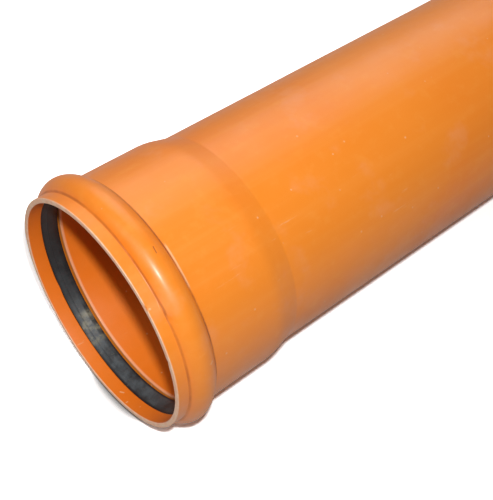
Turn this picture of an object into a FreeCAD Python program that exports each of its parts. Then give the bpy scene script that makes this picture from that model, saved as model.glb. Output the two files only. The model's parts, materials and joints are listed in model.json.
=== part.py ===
"""A one-metre PVC-U sewer pipe, outside diameter 160 mm, with a push-fit socket and its rubber ring.

Each piece is turned about the pipe's own axis, which runs along +X from the socket's mouth.
The finished pipe is then laid on the floor: it lies on the swelling of its socket and on
the outer edge of its plain end, so the axis dips slightly from the socket to the plain end.
Units are millimetres, +Z is up, and the origin is under the middle of the pipe, on the floor.
"""

import FreeCAD, Part
import math
import os

from FreeCAD import Placement, Rotation, Vector

# The barrel and its plain end
LAYING_LENGTH = 1000.0  # from the bottom of the socket to the plain end
BARREL_R = 80.0  # outside
BARREL_WALL = 4.0
END_BEVEL_LENGTH = 7.0  # along the axis
END_BEVEL_ANGLE = 15.0  # degrees, off the axis

# The socket
SOCKET_DEPTH = 79.0  # from the mouth to the start of the shoulder
SOCKET_GAP = 0.3  # between a plain end and the socket's wall, each side
SOCKET_WALL = 3.7
SHOULDER_ANGLE = 13.5  # degrees, off the axis
SHOULDER_ROUND = 40.0  # radius of the bend into the shoulder, outside
SHOULDER_FOOT_ROUND = 8.0  # radius of the bend out of it

# The lip in front of the ring's groove
LIP_LENGTH = 8.5
LIP_WALL = 4.0
LIP_EDGE_ROUND = 0.8

# The swelling that holds the ring's groove
SWELLING_HEIGHT = 6.8  # of its crown over the socket's outside
SWELLING_FRONT = 10.1  # from the lip back to the crown
SWELLING_BACK = 10.9  # from the crown back to the socket's wall
SWELLING_WALL = 3.4
LIP_CORNER_ROUND = 2.0
BACK_CORNER_ROUND = 1.2
GROOVE_EDGE_ROUND = 1.0

# The rubber sealing ring, drawn with its lip where a plain end holds it
RING_SEAT_GAP = 0.2  # between the ring and its groove
RING_LIP_GAP = 0.1  # between the lip and a plain end
RING_HEEL_DROP = 0.9  # how far the front edge stands back from the socket's bore
RING_BACK = 2.4  # from the crown to the back of the ring's body
RING_NOTCH_RISE = 2.9  # height of the notch's bottom over the socket's bore
RING_LIP_REACH = 4.4  # from the crown to the lip's rounded end
RING_LIP_THICKNESS = 1.9
RING_LAND = 3.0  # length of the lip's straight inner face

# Values worked out from these
BORE_R = BARREL_R - BARREL_WALL
SOCKET_BORE_R = BARREL_R + SOCKET_GAP
SOCKET_R = SOCKET_BORE_R + SOCKET_WALL
LIP_R = SOCKET_BORE_R + LIP_WALL
SWELLING_R = SOCKET_R + SWELLING_HEIGHT
CROWN_X = LIP_LENGTH + SWELLING_FRONT
SWELLING_END_X = CROWN_X + SWELLING_BACK
LENGTH = SOCKET_DEPTH + LAYING_LENGTH
BEVEL_X = LENGTH - END_BEVEL_LENGTH
END_R = BARREL_R - END_BEVEL_LENGTH * math.tan(math.radians(END_BEVEL_ANGLE))


def arc_radius(run, rise):
    """The radius of an arc that is level at its top and falls by rise over run."""
    return (run * run + rise * rise) / (2 * rise)


FRONT_ARC = arc_radius(SWELLING_FRONT, SWELLING_R - LIP_R)
BACK_ARC = arc_radius(SWELLING_BACK, SWELLING_R - SOCKET_R)
FRONT_CENTRE_R = SWELLING_R - FRONT_ARC
BACK_CENTRE_R = SWELLING_R - BACK_ARC


def point(x, r):
    """A point of a profile: x along the axis, r out from it."""
    return Vector(x, 0, r)


def on_front_arc(inset, r):
    """The point at radius r on the swelling's front arc, moved in by inset."""
    radius = FRONT_ARC - inset
    return point(CROWN_X - math.sqrt(radius**2 - (r - FRONT_CENTRE_R) ** 2), r)


def on_back_arc(inset, r=None, x=None):
    """The point at radius r, or at x, on the swelling's back arc, moved in by inset."""
    radius = BACK_ARC - inset
    if x is None:
        return point(CROWN_X + math.sqrt(radius**2 - (r - BACK_CENTRE_R) ** 2), r)
    return point(x, BACK_CENTRE_R + math.sqrt(radius**2 - (x - CROWN_X) ** 2))


def arc_about(centre, start, end):
    """The shorter arc from start to end about centre."""
    bisector = ((start - centre) + (end - centre)).normalize()
    return Part.Arc(start, centre + bisector * (start - centre).Length, end)


def shoulder(inset):
    """The bend into the shoulder, moved in by inset: its centre, its start, its end and its foot."""
    angle = math.radians(SHOULDER_ANGLE)
    centre = point(SOCKET_DEPTH, SOCKET_R - SHOULDER_ROUND)
    radius = SHOULDER_ROUND - inset
    start = centre + point(0, radius)
    end = centre + point(radius * math.sin(angle), radius * math.cos(angle))
    foot_r = BARREL_R if inset == 0 else BORE_R
    foot = point(end.x + (end.z - foot_r) / math.tan(angle), foot_r)
    return centre, start, end, foot


def line(start, end):
    return Part.LineSegment(start, end)


def turned(curves):
    """The solid that a closed profile sweeps about the axis."""
    wire = Part.Wire(Part.__sortEdges__([c.toShape() for c in curves]))
    return Part.Face(wire).revolve(Vector(0, 0, 0), Vector(1, 0, 0), 360)


def rounded(solid, corners):
    """The solid with the circular edge at each (point, radius) rounded."""
    for corner, radius in corners:
        edges = [e for e in solid.Edges if is_circle_at(e, corner)]
        solid = solid.makeFillet(radius, edges)
    return solid


def is_circle_at(edge, corner):
    curve = edge.Curve
    if not isinstance(curve, Part.Circle):
        return False
    return abs(curve.Center.x - corner.x) < 1e-4 and abs(curve.Radius - corner.z) < 1e-4


def pipe():
    """The barrel and its socket, one length of extruded PVC with its end swelled while hot."""
    mouth_outer = point(0, LIP_R)
    lip_corner = point(LIP_LENGTH, LIP_R)
    crown = point(CROWN_X, SWELLING_R)
    back_corner = point(SWELLING_END_X, SOCKET_R)
    bend_centre, bend_start, bend_end, foot = shoulder(0)
    bevel_start = point(BEVEL_X, BARREL_R)
    end_outer = point(LENGTH, END_R)

    mouth_inner = point(0, SOCKET_BORE_R)
    groove_front = on_front_arc(SWELLING_WALL, SOCKET_BORE_R)
    groove_crown = point(CROWN_X, SWELLING_R - SWELLING_WALL)
    groove_back = on_back_arc(SWELLING_WALL, r=SOCKET_BORE_R)
    inner_centre, inner_start, inner_end, inner_foot = shoulder(SOCKET_WALL)
    end_inner = point(LENGTH, BORE_R)

    front_centre = point(CROWN_X, FRONT_CENTRE_R)
    back_centre = point(CROWN_X, BACK_CENTRE_R)
    outside = [
        line(mouth_outer, lip_corner),
        arc_about(front_centre, lip_corner, crown),
        arc_about(back_centre, crown, back_corner),
        line(back_corner, bend_start),
        arc_about(bend_centre, bend_start, bend_end),
        line(bend_end, foot),
        line(foot, bevel_start),
        line(bevel_start, end_outer),
        line(end_outer, end_inner),
    ]
    inside = [
        line(end_inner, inner_foot),
        line(inner_foot, inner_end),
        arc_about(inner_centre, inner_end, inner_start),
        line(inner_start, groove_back),
        arc_about(back_centre, groove_back, groove_crown),
        arc_about(front_centre, groove_crown, groove_front),
        line(groove_front, mouth_inner),
        line(mouth_inner, mouth_outer),
    ]
    return rounded(
        turned(outside + inside),
        [
            (mouth_outer, LIP_EDGE_ROUND),
            (mouth_inner, LIP_EDGE_ROUND),
            (lip_corner, LIP_CORNER_ROUND),
            (back_corner, BACK_CORNER_ROUND),
            (groove_front, GROOVE_EDGE_ROUND),
            (groove_back, GROOVE_EDGE_ROUND),
            (foot, SHOULDER_FOOT_ROUND),
            (inner_foot, SHOULDER_FOOT_ROUND + BARREL_WALL),
        ],
    )


def sealing_ring():
    """The rubber ring: a body that fills the front of the groove, and a lip that leans back."""
    inset = SWELLING_WALL + RING_SEAT_GAP
    heel = on_front_arc(inset, SOCKET_BORE_R + RING_HEEL_DROP)
    crown = point(CROWN_X, SWELLING_R - inset)
    body_back = on_back_arc(inset, x=CROWN_X + RING_BACK)
    notch = point(CROWN_X, SOCKET_BORE_R + RING_NOTCH_RISE)

    lip_x = CROWN_X + RING_LIP_REACH - RING_LIP_THICKNESS / 2
    lip_r = BARREL_R + RING_LIP_GAP
    lip_inner = point(lip_x, lip_r)
    lip_tip = point(lip_x + RING_LIP_THICKNESS / 2, lip_r + RING_LIP_THICKNESS / 2)
    lip_outer = point(lip_x, lip_r + RING_LIP_THICKNESS)
    land_start = point(lip_x - RING_LAND, lip_r)
    return turned(
        [
            arc_about(point(CROWN_X, FRONT_CENTRE_R), heel, crown),
            arc_about(point(CROWN_X, BACK_CENTRE_R), crown, body_back),
            line(body_back, notch),
            line(notch, lip_outer),
            Part.Arc(lip_outer, lip_tip, lip_inner),
            line(lip_inner, land_start),
            line(land_start, heel),
        ]
    )


def lying_place():
    """Where the pipe lies: on its swelling's back arc and on the edge where the bevel starts.

    The slope is the one at which a straight floor touches the arc and meets that edge.
    """
    run = BEVEL_X - CROWN_X
    rise = BARREL_R - BACK_CENTRE_R
    slope = math.asin(BACK_ARC / math.hypot(rise, run)) - math.atan2(rise, run)
    height = BARREL_R * math.cos(slope) + BEVEL_X * math.sin(slope)
    near_x = -LIP_R * math.sin(slope)
    far_x = LENGTH * math.cos(slope) + END_R * math.sin(slope)
    middle = Vector(-(near_x + far_x) / 2, 0, height)
    return Placement(middle, Rotation(Vector(0, 1, 0), math.degrees(slope)))


def main():
    os.makedirs("parts", exist_ok=True)
    place = lying_place()
    for name, solid in (("pipe", pipe()), ("sealing_ring", sealing_ring())):
        solid.Placement = place.multiply(solid.Placement)
        solid.exportStep(f"parts/{name}.step")
        print(f"{name}: {solid.Volume / 1000:.1f} cm3, valid {solid.isValid()}")


main()
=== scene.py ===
# %% [markdown]
# # A push-fit sewer pipe
# This lesson dresses one length of orange PVC sewer pipe: a barrel, a socket with a swelling
# round it, and a black rubber ring inside the swelling. The construction model gives every size
# that matters. Here the pipe gets what the eye looks for: soft, slightly uneven edges, a thin
# lip on the ring, drawing marks along the barrel, scuffs and dust.

# %% Load the construction model
import json
import math

import bpy
from mathutils import Matrix, Vector


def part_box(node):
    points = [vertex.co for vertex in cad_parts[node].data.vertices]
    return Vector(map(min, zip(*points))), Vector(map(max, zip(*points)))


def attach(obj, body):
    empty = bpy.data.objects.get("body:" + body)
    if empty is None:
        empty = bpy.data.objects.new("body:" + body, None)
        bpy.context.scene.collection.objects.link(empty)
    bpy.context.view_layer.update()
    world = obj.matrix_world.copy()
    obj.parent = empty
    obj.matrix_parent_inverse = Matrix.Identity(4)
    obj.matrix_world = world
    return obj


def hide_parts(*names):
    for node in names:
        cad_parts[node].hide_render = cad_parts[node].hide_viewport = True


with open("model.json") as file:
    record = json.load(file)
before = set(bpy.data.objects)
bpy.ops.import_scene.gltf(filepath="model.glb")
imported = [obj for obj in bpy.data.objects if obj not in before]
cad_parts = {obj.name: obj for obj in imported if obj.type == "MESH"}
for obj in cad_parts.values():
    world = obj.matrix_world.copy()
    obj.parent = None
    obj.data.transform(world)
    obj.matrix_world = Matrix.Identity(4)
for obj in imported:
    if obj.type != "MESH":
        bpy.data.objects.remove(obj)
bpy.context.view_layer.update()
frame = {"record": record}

# %% [markdown]
# ## Where the pipe lies
# The pipe lies on the swelling of its socket and on its plain end, so its axis is not quite
# level. Two mounts in the record give that axis, the socket's bore and the outside of the
# barrel. Each turned piece is drawn about the X axis, starting at the socket's mouth, and is
# then laid along the real axis in one move, so its own object never has to be turned.

# %% Read the axis and the main radii
MM = 0.001
EDGE_ROUND = 0.8 * MM  # the mouth's edges, where the socket's straight wall starts

mounts = {mount["name"]: mount for mount in frame["record"]["mounts"]}
along = Vector(mounts["plain_end"]["axis"]).normalized()
socket_length = mounts["socket"]["dims"]["length_mm"] * MM
socket_depth = EDGE_ROUND + socket_length
mouth = Vector(mounts["socket"]["pos_m"]) - along * (EDGE_ROUND + socket_length / 2)
socket_bore_r = mounts["socket"]["dims"]["r_mm"] * MM
barrel_r = mounts["plain_end"]["dims"]["r_mm"] * MM
straight_end = Vector(mounts["plain_end"]["pos_m"]) - mouth
bevel_x = straight_end.dot(along) + mounts["plain_end"]["dims"]["length_mm"] * MM / 2
swelling_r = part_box("pipe")[1].y

across = Vector((0, 1, 0))
upward = along.cross(across)
laid = Matrix.Translation(mouth) @ Matrix((along, across, upward)).transposed().to_4x4()
print("mouth at", [round(v, 4) for v in mouth], "bevel starts", round(bevel_x, 4), "m on")

# %% [markdown]
# ## The camera
# The camera stands a little over half a metre from the mouth, looks down on it at about 45
# degrees and sees the barrel run off to the right. A lens of about 69 mm keeps the mouth round
# and the barrel's sides only slightly converging.

# %% Place the camera
LOOK_DOWN = math.radians(46.68)
TURNED = math.radians(40.82)  # clockwise from looking along +Y
LENS_MM = 69.01
MOUTH_SEEN = Vector((-95.8, -42.44, -614.4)) * MM  # right, up and towards the camera

camera_data = bpy.data.cameras.new("camera")
camera_data.lens = LENS_MM
camera_data.clip_end = 20
camera = bpy.data.objects.new("camera", camera_data)
bpy.context.scene.collection.objects.link(camera)
turn = Matrix.Rotation(-TURNED, 3, "Z") @ Matrix.Rotation(math.pi / 2 - LOOK_DOWN, 3, "X")
camera.matrix_world = Matrix.Translation(mouth - turn @ MOUTH_SEEN) @ turn.to_4x4()
bpy.context.scene.camera = camera
print("camera at", [round(v, 3) for v in camera.matrix_world.translation])

# %% [markdown]
# ## Floor and light
# The floor is one pale sheet under the pipe. The key lamp is a small flash just over the camera:
# it puts a narrow dark shadow along the pipe's lower edge and another inside the mouth, beside
# the upper rim. A broad, weak lamp far behind the pipe lays the long soft highlight along its
# top, and the pale surroundings fill the rest. The camera sees the floor as plain white, with a
# painted shadow that darkens it close to the pipe, and reflections see it pale, but the light
# that it sends back up to the pipe is weaker. A third lamp, broad and weak too, shines towards
# the mouth from its side.

# %% A helper for node trees
def add(tree, kind, inputs=None, **settings):
    """A new node with its settings. An input is a value, or another node's output to link."""
    node = tree.nodes.new("ShaderNode" + kind)
    for name, value in settings.items():
        setattr(node, name, value)
    for name, value in (inputs or {}).items():
        if isinstance(value, bpy.types.NodeSocket):
            tree.links.new(value, node.inputs[name])
        else:
            node.inputs[name].default_value = value
    return node


def seen_directly(tree):
    """1 for what the camera sees, straight, in a reflection or through glass, and 0 for light."""
    path = add(tree, "LightPath")
    seen = path.outputs["Is Camera Ray"]
    for other in ("Is Glossy Ray", "Is Transmission Ray"):
        seen = add(tree, "Math", {0: seen, 1: path.outputs[other]}, operation="MAXIMUM").outputs[0]
    return seen


# %% Lay the floor
FLOOR_SIZE = 8.0
FLOOR_GIVES = 0.22  # the share of the light that it sends back to the pipe
FLOOR_REFLECTED = 0.7
FLOOR_SEEN = 1.9
SHADE_REACH = 0.012  # how near the pipe the painted shadow darkens the floor
SHADE_DEPTH = 2.5  # a power, so more is darker

bpy.ops.object.select_all(action="DESELECT")
bpy.ops.mesh.primitive_plane_add(size=FLOOR_SIZE, location=(0, 0, 0))
floor = bpy.context.object
floor.name = "floor"

floor_paint = bpy.data.materials.new("floor_paint")
floor_paint.use_nodes = True
tree = floor_paint.node_tree
tree.nodes.clear()
shade = add(tree, "Mix", {0: seen_directly(tree), 2: FLOOR_GIVES, 3: FLOOR_REFLECTED})
# Painted shadow: ambient occlusion darkens the floor close to the pipe, for the camera only.
open_sky = add(tree, "AmbientOcclusion", {"Distance": SHADE_REACH}, samples=12).outputs["AO"]
seen = add(tree, "Math", {0: open_sky, 1: SHADE_DEPTH}, operation="POWER").outputs[0]
seen = add(tree, "Math", {0: seen, 1: FLOOR_SEEN}, operation="MULTIPLY").outputs[0]
straight = add(tree, "LightPath").outputs["Is Camera Ray"]
shade = add(tree, "Mix", {0: straight, 2: shade.outputs[0], 3: seen})
tone = add(tree, "CombineColor", {name: shade.outputs[0] for name in ("Red", "Green", "Blue")})
matt = add(tree, "BsdfDiffuse", {"Color": tone.outputs[0]})
add(tree, "OutputMaterial", {"Surface": matt.outputs["BSDF"]})
floor.data.materials.append(floor_paint)
print("floor", floor.dimensions[:])

# %% Hang the lamps
FLASH_OFFSET = Vector((14, 47, 0)) * MM  # right of the lens and over it
FLASH_RADIUS = 15 * MM
FLASH_POWER = 21.5
flash_data = bpy.data.lights.new("key_lamp", "POINT")
flash_data.energy = FLASH_POWER
flash_data.shadow_soft_size = FLASH_RADIUS
flash_data.use_nodes = True
tree = flash_data.node_tree
fading = add(tree, "LightFalloff", {"Strength": 1.0})
tree.links.new(fading.outputs["Linear"], tree.nodes["Emission"].inputs["Strength"])
flash = bpy.data.objects.new("key_lamp", flash_data)
bpy.context.scene.collection.objects.link(flash)
flash.location = camera.matrix_world @ FLASH_OFFSET

print("key lamp", (flash.location - mouth).length, "m from the mouth")


def hang_far_lamp(name, strength, size, look_down, turned):
    """A broad lamp far away: its light falls at an angle below level, turned clockwise from +Y."""
    data = bpy.data.lights.new(name, "SUN")
    data.energy = strength
    data.angle = math.radians(size)
    lamp = bpy.data.objects.new(name, data)
    bpy.context.scene.collection.objects.link(lamp)
    turn = Matrix.Rotation(-math.radians(turned), 3, "Z")
    lamp.matrix_world = (turn @ Matrix.Rotation(math.radians(90 - look_down), 3, "X")).to_4x4()
    print(name, "strength", strength, "size", size)


hang_far_lamp("back_lamp", 0.90, 50, 46, -140)
hang_far_lamp("side_lamp", 0.48, 38, 51, 99)

# %% Surroundings
FILL = 0.14
REFLECTED_BRIGHTNESS = 0.36
SEEN_BRIGHTNESS = 0.95

surroundings = bpy.data.worlds.new("surroundings")
bpy.context.scene.world = surroundings
surroundings.use_nodes = True
tree = surroundings.node_tree
tree.nodes.clear()
strength = add(tree, "Mix", {0: seen_directly(tree), 2: FILL, 3: REFLECTED_BRIGHTNESS})
straight = add(tree, "LightPath").outputs["Is Camera Ray"]
strength = add(tree, "Mix", {0: straight, 2: strength.outputs[0], 3: SEEN_BRIGHTNESS})
sky = add(tree, "Background", {"Strength": strength.outputs[0]})
add(tree, "OutputWorld", {"Surface": sky.outputs["Background"]})
bpy.context.scene.view_settings.view_transform = "Standard"

# %% [markdown]
# ## How a turned piece is made
# A pipe is extruded and a ring is moulded, so every piece here is the same all the way round
# its axis. The simplest way to model such a thing is a lathe: draw half of its section as a
# chain of edges and spin that chain once round the axis. Corners get their rounding in the
# section itself, which keeps each edge's real radius and spends points only where it is round.

# %% Helpers that draw a section
ROUND_STEP = math.radians(15)  # one face for each step of a rounded corner


def rounded_chain(corners):
    """Points (x, r) along straight runs whose corners are (x, r, rounding), closed into a loop."""
    chain = []
    for i, (x, r, rounding) in enumerate(corners):
        here = Vector((x, r))
        if not rounding:
            chain.append(here)
            continue
        before = Vector(corners[i - 1][:2]) - here
        after = Vector(corners[(i + 1) % len(corners)][:2]) - here
        half = before.angle(after) / 2
        back = min(rounding / math.tan(half), 0.49 * min(before.length, after.length))
        start, end = here + before.normalized() * back, here + after.normalized() * back
        middle = here + (before.normalized() + after.normalized()).normalized() * back / math.cos(half)
        steps = max(2, round((math.pi - 2 * half) / ROUND_STEP))
        for k in range(steps + 1):
            chord = (start.lerp(end, k / steps) - middle).normalized()
            chain.append(middle + chord * back * math.tan(half))
    return chain


def arc_points(crown, run, rise, steps):
    """Corners along an arc that is level at crown and drops by rise over run (run < 0 is forwards)."""
    radius = (run * run + rise * rise) / (2 * rise)
    centre = Vector((crown[0], crown[1] - radius))
    sweep = math.asin(run / radius)
    return [
        (centre.x + radius * math.sin(sweep * k / steps), centre.y + radius * math.cos(sweep * k / steps), 0)
        for k in range(1, steps)
    ]


# %% Helpers that turn it
TURNS = 288  # faces round the pipe
SAME_POINT = 0.001 * MM  # points this close are merged


def deselect_all():
    if bpy.context.object and bpy.context.object.mode != "OBJECT":
        bpy.ops.object.mode_set(mode="OBJECT")
    bpy.ops.object.select_all(action="DESELECT")


def draw_chain(name, chain):
    """A new object whose mesh is the closed chain of edges, drawn by extruding one point."""
    deselect_all()
    bpy.ops.mesh.primitive_plane_add(size=MM, location=(0, 0, 0))
    piece = bpy.context.object
    piece.name = piece.data.name = name
    bpy.ops.object.mode_set(mode="EDIT")
    bpy.ops.mesh.select_all(action="SELECT")
    bpy.ops.mesh.merge(type="CENTER")
    bpy.ops.transform.translate(value=(chain[0].x, 0, chain[0].y))
    for before, after in zip(chain, chain[1:] + chain[:1]):
        step = (after.x - before.x, 0, after.y - before.y)
        bpy.ops.mesh.extrude_region_move(TRANSFORM_OT_translate={"value": step})
    return piece


def turn_chain(piece):
    """Spins the drawn chain once round the axis and closes the seam."""
    bpy.ops.mesh.select_all(action="SELECT")
    bpy.ops.mesh.remove_doubles(threshold=SAME_POINT)
    bpy.ops.mesh.spin(steps=TURNS, angle=2 * math.pi, center=(0, 0, 0), axis=(1, 0, 0))
    bpy.ops.mesh.select_all(action="SELECT")
    bpy.ops.mesh.remove_doubles(threshold=SAME_POINT)
    bpy.ops.mesh.normals_make_consistent(inside=False)
    bpy.ops.object.mode_set(mode="OBJECT")
    print(piece.name, len(piece.data.vertices), "points,", len(piece.data.polygons), "faces")


# %% [markdown]
# ## The pipe
# The socket is made from the barrel itself: the end is heated and pushed over a former, so the
# wall stays nearly the same thickness all along. From the mouth there is a short lip, then the
# swelling that holds the rubber ring, then the straight socket, then a shoulder that eases down
# to the barrel. The far end has the long bevel that lets it slide into the next ring.

# %% Sizes of the pipe's section
BARREL_WALL = 4.0 * MM
SOCKET_WALL = 3.7 * MM
LIP_WALL = 4.0 * MM
SWELLING_WALL = 3.4 * MM
LIP_LENGTH = 8.5 * MM
SWELLING_FRONT = 10.1 * MM
SWELLING_BACK = 10.9 * MM
SHOULDER_ANGLE = math.radians(13.5)
SHOULDER_ROUND = 40 * MM
BEVEL_LENGTH = 7 * MM
BEVEL_ANGLE = math.radians(15)
GROOVE_EDGE_SETS_IN = 1.7 * MM  # where the groove bends back into the socket's bore
GROOVE_BACK_ROUND = 2.2 * MM
GROOVE_FRONT_ROUND = 1 * MM
LIP_CORNER_ROUND = 1.5 * MM
SHOULDER_FOOT_ROUND = 8 * MM
BEVEL_ROUND = 1.5 * MM
SAWN_EDGE_ROUND = 0.3 * MM
ARC_STEPS = 14
GROOVE_STEPS = 10
BARREL_STEPS = 24

bore_r = barrel_r - BARREL_WALL
socket_r = socket_bore_r + SOCKET_WALL
lip_r = socket_bore_r + LIP_WALL
crown_x = LIP_LENGTH + SWELLING_FRONT
pipe_length = bevel_x + BEVEL_LENGTH
groove_r = swelling_r - SWELLING_WALL
print("socket outside", round(socket_r, 4), "length", round(pipe_length, 4))


# %% Draw and turn the pipe
def shoulder_corners(start_r, end_r, bend_r):
    """The bend from the socket into the shoulder, and the foot of its slope."""
    steps = 8
    centre_r = start_r - bend_r
    bend = [
        (socket_depth + bend_r * math.sin(SHOULDER_ANGLE * k / steps),
         centre_r + bend_r * math.cos(SHOULDER_ANGLE * k / steps), 0)
        for k in range(steps + 1)
    ]
    foot_x = bend[-1][0] + (bend[-1][1] - end_r) / math.tan(SHOULDER_ANGLE)
    return bend + [(foot_x, end_r, 0)]


def stretch(start_x, end_x, r, parts):
    """Corners along a straight wall, so that its faces do not get too long."""
    return [(start_x + (end_x - start_x) * k / parts, r, 0) for k in range(1, parts)]


front_radius = (SWELLING_FRONT**2 + (swelling_r - lip_r) ** 2) / (2 * (swelling_r - lip_r))
back_radius = (SWELLING_BACK**2 + (swelling_r - socket_r) ** 2) / (2 * (swelling_r - socket_r))


def groove_run(radius):
    """How far before or behind the crown the groove meets the socket's bore."""
    inner = radius - SWELLING_WALL
    return math.sqrt(inner**2 - (socket_bore_r - (swelling_r - radius)) ** 2)


outer_shoulder = shoulder_corners(socket_r, barrel_r, SHOULDER_ROUND)
inner_shoulder = shoulder_corners(socket_bore_r, bore_r, SHOULDER_ROUND - SOCKET_WALL)
crown = (crown_x, swelling_r)
groove_crown = (crown_x, groove_r)
groove_drop = groove_r - socket_bore_r
front_run, back_run = groove_run(front_radius), groove_run(back_radius) - GROOVE_EDGE_SETS_IN

outside = [(0, lip_r, EDGE_ROUND), (LIP_LENGTH, lip_r, LIP_CORNER_ROUND)]
outside += arc_points(crown, -SWELLING_FRONT, swelling_r - lip_r, ARC_STEPS)[::-1]
outside += [(*crown, 0)]
outside += arc_points(crown, SWELLING_BACK, swelling_r - socket_r, ARC_STEPS)
outside += [(crown_x + SWELLING_BACK, socket_r, EDGE_ROUND)]
outside += stretch(crown_x + SWELLING_BACK, socket_depth, socket_r, 5)
outside += outer_shoulder[:-1] + [(*outer_shoulder[-1][:2], SHOULDER_FOOT_ROUND)]
outside += stretch(outer_shoulder[-1][0] + 4 * MM, bevel_x, barrel_r, BARREL_STEPS)
outside += [(bevel_x, barrel_r, BEVEL_ROUND)]
end_r = barrel_r - BEVEL_LENGTH * math.tan(BEVEL_ANGLE)
outside += [(pipe_length, end_r, SAWN_EDGE_ROUND)]
inside = [(pipe_length, bore_r, SAWN_EDGE_ROUND)]
inside += stretch(pipe_length, inner_shoulder[-1][0] + 4 * MM, bore_r, BARREL_STEPS)
inside += [(*inner_shoulder[-1][:2], SHOULDER_FOOT_ROUND + BARREL_WALL)] + inner_shoulder[-2::-1]
inside += stretch(socket_depth, crown_x + back_run, socket_bore_r, 4)
inside += [(crown_x + back_run, socket_bore_r, GROOVE_BACK_ROUND)]
inside += arc_points(groove_crown, back_run, groove_drop, GROOVE_STEPS)[::-1]
inside += [(*groove_crown, 0)]
inside += arc_points(groove_crown, -front_run, groove_drop, GROOVE_STEPS)
inside += [(crown_x - front_run, socket_bore_r, GROOVE_FRONT_ROUND), (0, socket_bore_r, EDGE_ROUND)]

pipe = draw_chain("pipe_wall", rounded_chain(outside + inside))
turn_chain(pipe)

# %% [markdown]
# ## Knocks and unevenness
# A hot-formed socket is never quite true: its walls are a little wavy, the corner behind the lip
# wanders, and the sawn rim has a nick where it was knocked. Waves come from a Displace modifier
# that only moves the skin inwards, so the pipe does not grow. The nick and the wandering corner
# are single points moved with proportional editing, which drags the skin round them along.

# %% Waves in the skin
WAVE_DEPTH = 0.30 * MM
WAVE_LENGTH = 45 * MM


def make_active(piece):
    deselect_all()
    piece.select_set(True)
    bpy.context.view_layer.objects.active = piece


make_active(pipe)
waves = bpy.data.textures.new("waves", "CLOUDS")
waves.noise_scale = WAVE_LENGTH
waves.noise_depth = 1
wavy = pipe.modifiers.new("wavy", "DISPLACE")
wavy.texture = waves
wavy.texture_coords = "LOCAL"
wavy.mid_level = 1.0
wavy.strength = WAVE_DEPTH
bpy.ops.object.modifier_apply(modifier=wavy.name)
print("waves up to", WAVE_DEPTH, "m deep")


# %% The nick in the rim and the wandering corner
def drag_point(piece, x, r, angle, move, reach, falloff):
    """Moves the point nearest to a place on the pipe, and the skin within reach less and less."""
    turned = math.radians(angle)
    place = Vector((x, r * math.sin(turned), r * math.cos(turned)))
    make_active(piece)
    bpy.ops.object.mode_set(mode="EDIT")
    bpy.ops.mesh.select_mode(type="VERT")
    bpy.ops.mesh.select_all(action="DESELECT")
    bpy.ops.object.mode_set(mode="OBJECT")
    nearest = min(piece.data.vertices, key=lambda point: (point.co - place).length)
    nearest.select = True
    bpy.ops.object.mode_set(mode="EDIT")
    out = Vector((0, math.sin(turned), math.cos(turned)))
    bpy.ops.transform.translate(
        value=Vector((move[0], 0, 0)) + out * move[1],
        use_proportional_edit=True,
        proportional_edit_falloff=falloff,
        proportional_size=reach,
    )
    bpy.ops.object.mode_set(mode="OBJECT")


for x, r, angle, move, reach, falloff in (
    (0, lip_r, -44.0, (0.9 * MM, -0.5 * MM), 3.4 * MM, "SHARP"),
    (0, lip_r - 2 * MM, -45.6, (0.6 * MM, 0), 3.0 * MM, "SHARP"),
    (LIP_LENGTH, lip_r, -47.0, (-1.0 * MM, 0.1 * MM), 6.0 * MM, "SMOOTH"),
    (LIP_LENGTH, lip_r, -52.5, (0.7 * MM, -0.2 * MM), 6.0 * MM, "SMOOTH"),
    (LIP_LENGTH, lip_r, -63.0, (-0.5 * MM, 0), 9.0 * MM, "SMOOTH"),
    (LIP_LENGTH, lip_r, -20.0, (0.5 * MM, 0), 11.0 * MM, "SMOOTH"),
    (0, socket_bore_r, -70.0, (0.5 * MM, 0), 4.0 * MM, "SHARP"),
    (0, lip_r, 130.0, (0.5 * MM, 0), 3.5 * MM, "SHARP"),
    (LIP_LENGTH, lip_r, 120.0, (0.7 * MM, 0), 9.0 * MM, "SMOOTH"),
):
    drag_point(pipe, x, r, angle, move, reach, falloff)
print("nicks and wandering corner done")

pipe.data.transform(laid)
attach(pipe, "root")
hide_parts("pipe")

# %% [markdown]
# ## The rubber ring
# The ring is a moulded band that sits in the front of the groove, with a thin lip that leans
# back into the socket. A plain end pushed in from the mouth slides up the lip and presses it
# outwards, so with no pipe in the socket the lip stands a little inside the bore.

# %% Draw and turn the ring
SEAT_GAP = 0.2 * MM
HEEL_DROP = 0.9 * MM
LIP_STANDS_IN = 1.4 * MM  # inside the socket's bore, with nothing pushed in
LIP_THICKNESS = 1.6 * MM
LIP_END_ROUND = 0.7 * MM
LIP_LAND_ROUND = 2.5 * MM

seat_front = front_radius - SWELLING_WALL - SEAT_GAP
heel_r = socket_bore_r + HEEL_DROP
heel_x = crown_x - math.sqrt(seat_front**2 - (heel_r - (swelling_r - front_radius)) ** 2)
seat_crown = (crown_x, groove_r - SEAT_GAP)
lip_tip_r = socket_bore_r - LIP_STANDS_IN
section = [(heel_x, heel_r, 0.3 * MM)]
section += arc_points(seat_crown, heel_x - crown_x, seat_crown[1] - heel_r, GROOVE_STEPS)[::-1]
section += [(*seat_crown, 0), (crown_x + 2.4 * MM, seat_crown[1] - 0.35 * MM, 0.4 * MM)]
section += [(crown_x + 0.3 * MM, socket_bore_r + 2.6 * MM, 0.5 * MM)]
section += [(crown_x + 4.3 * MM, lip_tip_r + LIP_THICKNESS, LIP_END_ROUND)]
section += [(crown_x + 4.6 * MM, lip_tip_r, LIP_END_ROUND)]
section += [(crown_x + 0.9 * MM, lip_tip_r, LIP_LAND_ROUND)]

ring = draw_chain("rubber_ring", rounded_chain(section))
turn_chain(ring)
ring.data.transform(laid)
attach(ring, "root")
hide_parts("sealing_ring")
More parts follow.
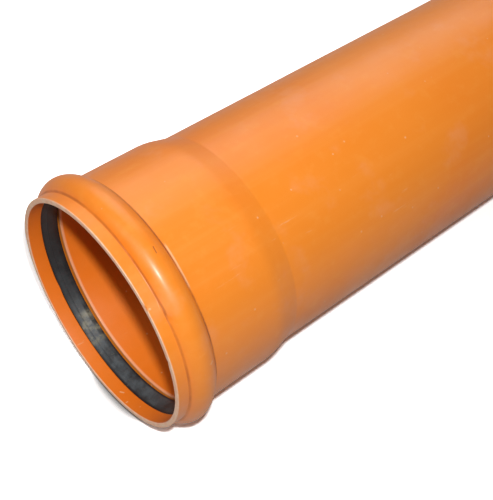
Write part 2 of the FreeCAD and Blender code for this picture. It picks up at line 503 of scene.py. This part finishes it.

# %% [markdown]
# ## The orange plastic
# Sewer pipe is orange all through, because the colour is mixed into the plastic. Still it is
# never one flat orange: the batch varies softly, the die leaves faint lines along the pipe, and
# handling adds pale scuffs. The sawn end is rougher and paler than the skin. Light is painted in
# too: painted shade darkens the creases, the socket's bore is painted darker and redder for the
# shade and red bounce light inside it, and the groove's rear edge and a strip behind the swelling
# get a painted highlight. All of this follows the pipe, so the patterns need a place along the
# axis and an angle round it. A Mapping node turns the object's coordinates so that X runs along
# the pipe.

# %% Helpers for a finish
def start_finish(name):
    """A new material, its node tree, its shader and a place (x, y, z) along the pipe."""
    material = bpy.data.materials.new(name)
    material.use_nodes = True
    tree = material.node_tree
    tree.nodes.clear()
    shader = add(tree, "BsdfPrincipled")
    add(tree, "OutputMaterial", {"Surface": shader.outputs["BSDF"]})
    place = add(tree, "TexCoord").outputs["Object"]
    turned = {"Vector": place, "Location": laid.translation, "Rotation": laid.to_euler()}
    place = add(tree, "Mapping", turned, vector_type="TEXTURE").outputs["Vector"]
    return material, tree, shader, place


def scaled(tree, place, scale):
    """The place stretched by (x, y, z), so that a pattern gets longer where a value is small."""
    return add(tree, "Mapping", {"Vector": place, "Scale": scale}).outputs["Vector"]


def noise(tree, place, scale, detail=3, roughness=0.5):
    """Soft noise from 0 to 1. Its patches are about 1 / scale across."""
    settings = {"Vector": place, "Scale": scale, "Detail": detail, "Roughness": roughness}
    return add(tree, "TexNoise", settings).outputs["Fac"]


def span(tree, value, low, high, to_low=0.0, to_high=1.0):
    """The value moved from low..high to to_low..to_high, smoothly, and held there outside."""
    settings = {"Value": value, "From Min": low, "From Max": high, "To Min": to_low, "To Max": to_high}
    return add(tree, "MapRange", settings, interpolation_type="SMOOTHSTEP").outputs["Result"]


def calc(tree, operation, a, b=0.0):
    return add(tree, "Math", {0: a, 1: b}, operation=operation).outputs["Value"]


def blend(tree, share, a, b):
    """Colour a, with a share of colour b over it."""
    a, b = [c if isinstance(c, bpy.types.NodeSocket) else (*c, 1) for c in (a, b)]
    return add(tree, "Mix", {0: share, 6: a, 7: b}, data_type="RGBA").outputs[2]


def bump(tree, height, strength, distance, below=None):
    settings = {"Height": height, "Strength": strength, "Distance": distance}
    if below:
        settings["Normal"] = below
    return add(tree, "Bump", settings).outputs["Normal"]


def around(tree, place):
    """The place along the axis, the radius, and the angle round it from the top, in radians."""
    parts = add(tree, "SeparateXYZ", {0: place})
    x, y, z = (parts.outputs[name] for name in "XYZ")
    radius = calc(tree, "SQRT", calc(tree, "ADD", calc(tree, "MULTIPLY", y, y), calc(tree, "MULTIPLY", z, z)))
    return x, radius, calc(tree, "ARCTAN2", y, z)


def stroke(tree, x, angle, at_x, at_angle, length, width, slant):
    """1 on one small mark. The angles are in degrees, the sizes in metres, slant from the axis."""
    along_x = calc(tree, "SUBTRACT", x, at_x)
    across_x = calc(tree, "MULTIPLY", calc(tree, "SUBTRACT", angle, math.radians(at_angle)), socket_r)
    cosine, sine = math.cos(math.radians(slant)), math.sin(math.radians(slant))
    on = calc(tree, "ADD", calc(tree, "MULTIPLY", along_x, cosine), calc(tree, "MULTIPLY", across_x, sine))
    straight_off = calc(tree, "MULTIPLY", across_x, cosine)
    off = calc(tree, "SUBTRACT", straight_off, calc(tree, "MULTIPLY", along_x, sine))
    inside_length = span(tree, calc(tree, "ABSOLUTE", on), length * 0.35, length * 0.5, 1, 0)
    inside_width = span(tree, calc(tree, "ABSOLUTE", off), width * 0.2, width * 0.5, 1, 0)
    return calc(tree, "MULTIPLY", inside_length, inside_width)


# %% Colour of the plastic
ORANGE = (0.93, 0.262, 0.016)
DEEPER_ORANGE = (0.91, 0.228, 0.010)
LIGHTER_ORANGE = (0.95, 0.310, 0.038)
BORE_SHADE_ORANGE = (0.86, 0.190, 0.014)
PINK_BLOOM = (0.94, 0.36, 0.15)
SCUFF_AND_HIGHLIGHT_PALE = (0.95, 0.50, 0.24)
SHADE_AND_SCRATCH_DARK = (0.30, 0.060, 0.012)
CUT_FACE = (0.96, 0.64, 0.44)
EDGE_HIGHLIGHT_PALE = (0.96, 0.47, 0.26)

orange_pvc, tree, shader, place = start_finish("orange_pvc")
x, radius, angle = around(tree, place)

batch = span(tree, noise(tree, place, 7, 2), 0.35, 0.65)
colour = blend(tree, batch, DEEPER_ORANGE, ORANGE)
die_lines = noise(tree, scaled(tree, place, (0.6, 95, 95)), 1.6, 5, 0.62)
colour = blend(tree, span(tree, die_lines, 0.42, 0.75, 0, 0.34), colour, LIGHTER_ORANGE)
mottle = noise(tree, place, 95, 5, 0.65)
colour = blend(tree, span(tree, mottle, 0.50, 0.74, 0, 0.45), colour, LIGHTER_ORANGE)
bloom = calc(tree, "MULTIPLY", span(tree, noise(tree, place, 26, 4, 0.6), 0.54, 0.72), 0.32)
colour = blend(tree, bloom, colour, PINK_BLOOM)
# Painted shade: the socket's bore is painted darker and redder, standing in for the shade and the red bounce
# light inside it.
painted_bore_shade = span(tree, radius, socket_bore_r + 0.0002, socket_bore_r + 0.0016, 0.8, 0)
shoulder_foot_x = outer_shoulder[-1][0]
socket_only = span(tree, x, shoulder_foot_x - 0.03, shoulder_foot_x, 1, 0)
painted_bore_shade = calc(tree, "MULTIPLY", painted_bore_shade, socket_only)
colour = blend(tree, painted_bore_shade, colour, BORE_SHADE_ORANGE)
# Painted highlight: a pale line on the rounded edge where the groove bends back into the bore.
groove_edge_x = crown_x + back_run
from_edge = calc(tree, "ABSOLUTE", calc(tree, "SUBTRACT", x, groove_edge_x + 0.0004))
low_in_groove = span(tree, radius, socket_bore_r + 0.0006, socket_bore_r + 0.0022, 1, 0)
painted_edge_highlight = calc(tree, "MULTIPLY", span(tree, from_edge, 0.0008, 0.0021, 0.75, 0), low_in_groove)
colour = blend(tree, painted_edge_highlight, colour, EDGE_HIGHLIGHT_PALE)
print("plastic's tones", ORANGE, DEEPER_ORANGE, LIGHTER_ORANGE)

# %% Scuffs from handling, and a painted highlight strip
scuff_lines = noise(tree, scaled(tree, place, (30, 260, 420)), 1.0, 6, 0.7)
scuff_places = span(tree, noise(tree, place, 13, 2), 0.50, 0.66)
scuffs_and_highlight = calc(tree, "MULTIPLY", span(tree, scuff_lines, 0.63, 0.70), scuff_places)
cells = add(tree, "TexVoronoi", {"Vector": place, "Scale": 75.0}).outputs["Distance"]
specks = span(tree, cells, 0.035, 0.07, 1, 0)
scuffs_and_highlight = calc(tree, "MAXIMUM", calc(tree, "MULTIPLY", scuffs_and_highlight, 0.55), calc(tree, "MULTIPLY", specks, 0.8))
for at_x, at_angle, length, width, slant in (
    (0.0237, -77.9, 0.0030, 0.0016, 20),
    (0.0055, -174.4, 0.0042, 0.0014, 60),
    (0.0027, -167.2, 0.0022, 0.0014, 10),
    # The last mark is no scuff but a painted highlight: a pale strip just behind the swelling's back valley.
    (0.0305, -36.5, 0.0330, 0.0019, 88),
):
    scuffs_and_highlight = calc(tree, "MAXIMUM", scuffs_and_highlight, stroke(tree, x, angle, at_x, at_angle, length, width, slant))
# Pale scuffs, and the painted highlight strip, blended over the plastic.
colour = blend(tree, calc(tree, "MULTIPLY", scuffs_and_highlight, 0.8), colour, SCUFF_AND_HIGHLIGHT_PALE)

# %% Painted shade in the creases, a dark scratch, and the sawn faces
# Painted shade: the crease behind the swelling and the corner behind the lip are darkened in patches.
valley_x = crown_x + SWELLING_BACK
from_valley = calc(tree, "ABSOLUTE", calc(tree, "SUBTRACT", x, valley_x + 0.0001))
from_corner = calc(tree, "ABSOLUTE", calc(tree, "SUBTRACT", x, LIP_LENGTH + 0.0003))
outer_skin = span(tree, radius, socket_r - 0.0012, socket_r - 0.0004)
patchy = span(tree, noise(tree, place, 55, 3), 0.30, 0.62, 0.45, 1.0)
painted_shade_and_scratch = calc(tree, "MULTIPLY", span(tree, from_valley, 0.0002, 0.0011, 0.85, 0), patchy)
painted_corner_shade = calc(tree, "MULTIPLY", span(tree, from_corner, 0.0001, 0.0009, 0.55, 0), patchy)
painted_shade_and_scratch = calc(tree, "MAXIMUM", painted_shade_and_scratch, painted_corner_shade)
painted_shade_and_scratch = calc(tree, "MULTIPLY", painted_shade_and_scratch, outer_skin)
# A real dark scratch on the swelling joins the same dark blend.
scratch = stroke(tree, x, angle, crown_x + 0.0026, -27.3, 0.0050, 0.0009, 82)
painted_shade_and_scratch = calc(tree, "MAXIMUM", painted_shade_and_scratch, calc(tree, "MULTIPLY", scratch, 0.8))
colour = blend(tree, painted_shade_and_scratch, colour, SHADE_AND_SCRATCH_DARK)

near_mouth = span(tree, x, 0.00035, 0.0011, 1, 0)
plain_end_x = pipe_length - 0.0002
sawn = calc(tree, "MAXIMUM", near_mouth, span(tree, x, plain_end_x - 0.0006, plain_end_x, 0, 1))
bevel = calc(tree, "MULTIPLY", span(tree, x, bevel_x - 0.0004, bevel_x + 0.0004), 0.45)
sawn_tone = span(tree, noise(tree, place, 210, 4, 0.6), 0.3, 0.7, 0.62, 1.0)
pale = calc(tree, "MULTIPLY", calc(tree, "MAXIMUM", sawn, bevel), sawn_tone)
colour = blend(tree, pale, colour, CUT_FACE)
tree.links.new(colour, shader.inputs["Base Color"])
print("dirt at", round(valley_x, 4), "and", LIP_LENGTH, "m from the mouth")

# %% Gloss and relief of the plastic
ROUGHNESS = 0.44
gloss = span(tree, noise(tree, place, 42, 5, 0.65), 0.3, 0.7, ROUGHNESS - 0.06, ROUGHNESS + 0.07)
gloss = calc(tree, "ADD", gloss, calc(tree, "MULTIPLY", span(tree, die_lines, 0.4, 0.7), 0.04))
gloss = calc(tree, "ADD", gloss, calc(tree, "MULTIPLY", calc(tree, "MAXIMUM", pale, scuffs_and_highlight), 0.25))
gloss = calc(tree, "ADD", gloss, calc(tree, "MULTIPLY", painted_shade_and_scratch, 0.3))
tree.links.new(gloss, shader.inputs["Roughness"])

orange_peel = noise(tree, place, 330, 3, 0.55)
ripple = noise(tree, scaled(tree, place, (4, 34, 34)), 1.0, 2)
normal = bump(tree, die_lines, 0.30, 0.00022)
normal = bump(tree, orange_peel, 0.25, 0.00016, normal)
normal = bump(tree, ripple, 0.35, 0.0010, normal)
normal = bump(tree, calc(tree, "SUBTRACT", scuffs_and_highlight, calc(tree, "MULTIPLY", scratch, 2)), 0.4, 0.0002, normal)
saw_marks = calc(tree, "MULTIPLY", noise(tree, scaled(tree, place, (1, 900, 260)), 1.0, 3), sawn)
normal = bump(tree, saw_marks, 0.5, 0.0004, normal)
tree.links.new(normal, shader.inputs["Normal"])
shader.inputs["IOR"].default_value = 1.5
shader.inputs["Specular IOR Level"].default_value = 0.45
shader.inputs["Coat Weight"].default_value = 0.26
shader.inputs["Coat Roughness"].default_value = 0.25
pipe.data.materials.append(orange_pvc)

# %% [markdown]
# ## The black rubber
# The ring is moulded from black rubber. New, it is almost black and a little shiny; on the shelf
# a grey bloom of wax and dust comes out on it in uneven patches, more where the ring was
# touched. Its lower part is greyer, partly from bloom and dust and partly from a painted sheen,
# and an olive patch there is a painted highlight. The mould leaves a fine line round it, and the
# surface is slightly pitted.

# %% Colour, gloss and relief of the rubber
RUBBER_BLACK = (0.010, 0.011, 0.012)
BLOOM_AND_SHEEN_GREY = (0.075, 0.090, 0.098)
OLIVE_DUST_AND_HIGHLIGHT = (0.21, 0.20, 0.135)

black_rubber, tree, shader, place = start_finish("black_rubber")
x, radius, angle = around(tree, place)
patches = noise(tree, place, 60, 5, 0.68)
# More grey towards the ring's lower part: partly bloom and dust, partly a painted sheen.
lower_dust_and_sheen = span(tree, calc(tree, "ABSOLUTE", angle), math.radians(105), math.radians(165), 0.18, 1.0)
bloom_and_sheen = calc(tree, "MULTIPLY", span(tree, patches, 0.36, 0.66, 0.15, 1.0), lower_dust_and_sheen)
touched = span(tree, x, heel_x + 0.0006, heel_x + 0.0022)  # the edges stay clean and black
touched = calc(tree, "MULTIPLY", touched, span(tree, x, crown_x + 0.0022, crown_x + 0.0040, 1, 0))
bloom_and_sheen = calc(tree, "MULTIPLY", bloom_and_sheen, touched)
colour = blend(tree, bloom_and_sheen, RUBBER_BLACK, BLOOM_AND_SHEEN_GREY)
# Painted highlight: an olive patch low on the ring; the same olive tone also serves as dust below.
painted_olive_highlight = stroke(tree, x, angle, crown_x - 0.001, 146, 0.030, 0.022, 84)
olive = calc(tree, "MULTIPLY", painted_olive_highlight, span(tree, noise(tree, place, 140, 4, 0.7), 0.38, 0.62))
colour = blend(tree, calc(tree, "MULTIPLY", olive, 0.75), colour, OLIVE_DUST_AND_HIGHLIGHT)
dust = span(tree, noise(tree, place, 520, 3, 0.7), 0.62, 0.70, 0, 0.35)
colour = blend(tree, calc(tree, "MULTIPLY", dust, lower_dust_and_sheen), colour, OLIVE_DUST_AND_HIGHLIGHT)
tree.links.new(colour, shader.inputs["Base Color"])

tree.links.new(span(tree, patches, 0.3, 0.7, 0.42, 0.62), shader.inputs["Roughness"])
pitted = noise(tree, place, 900, 2)
normal = bump(tree, pitted, 0.25, 0.00008)
normal = bump(tree, patches, 0.30, 0.0004, normal)
from_line = calc(tree, "ABSOLUTE", calc(tree, "SUBTRACT", x, crown_x - 0.0035))
mould_line = span(tree, from_line, 0.00008, 0.00035, 1, 0)
normal = bump(tree, mould_line, 0.6, 0.00025, normal)
tree.links.new(normal, shader.inputs["Normal"])
shader.inputs["Specular IOR Level"].default_value = 0.45
ring.data.materials.append(black_rubber)
print("rubber's tones", RUBBER_BLACK, BLOOM_AND_SHEEN_GREY, OLIVE_DUST_AND_HIGHLIGHT)

# %% Smooth shading with crisp edges
for piece in (pipe, ring):
    make_active(piece)
    bpy.ops.object.shade_smooth_by_angle(angle=math.radians(40))
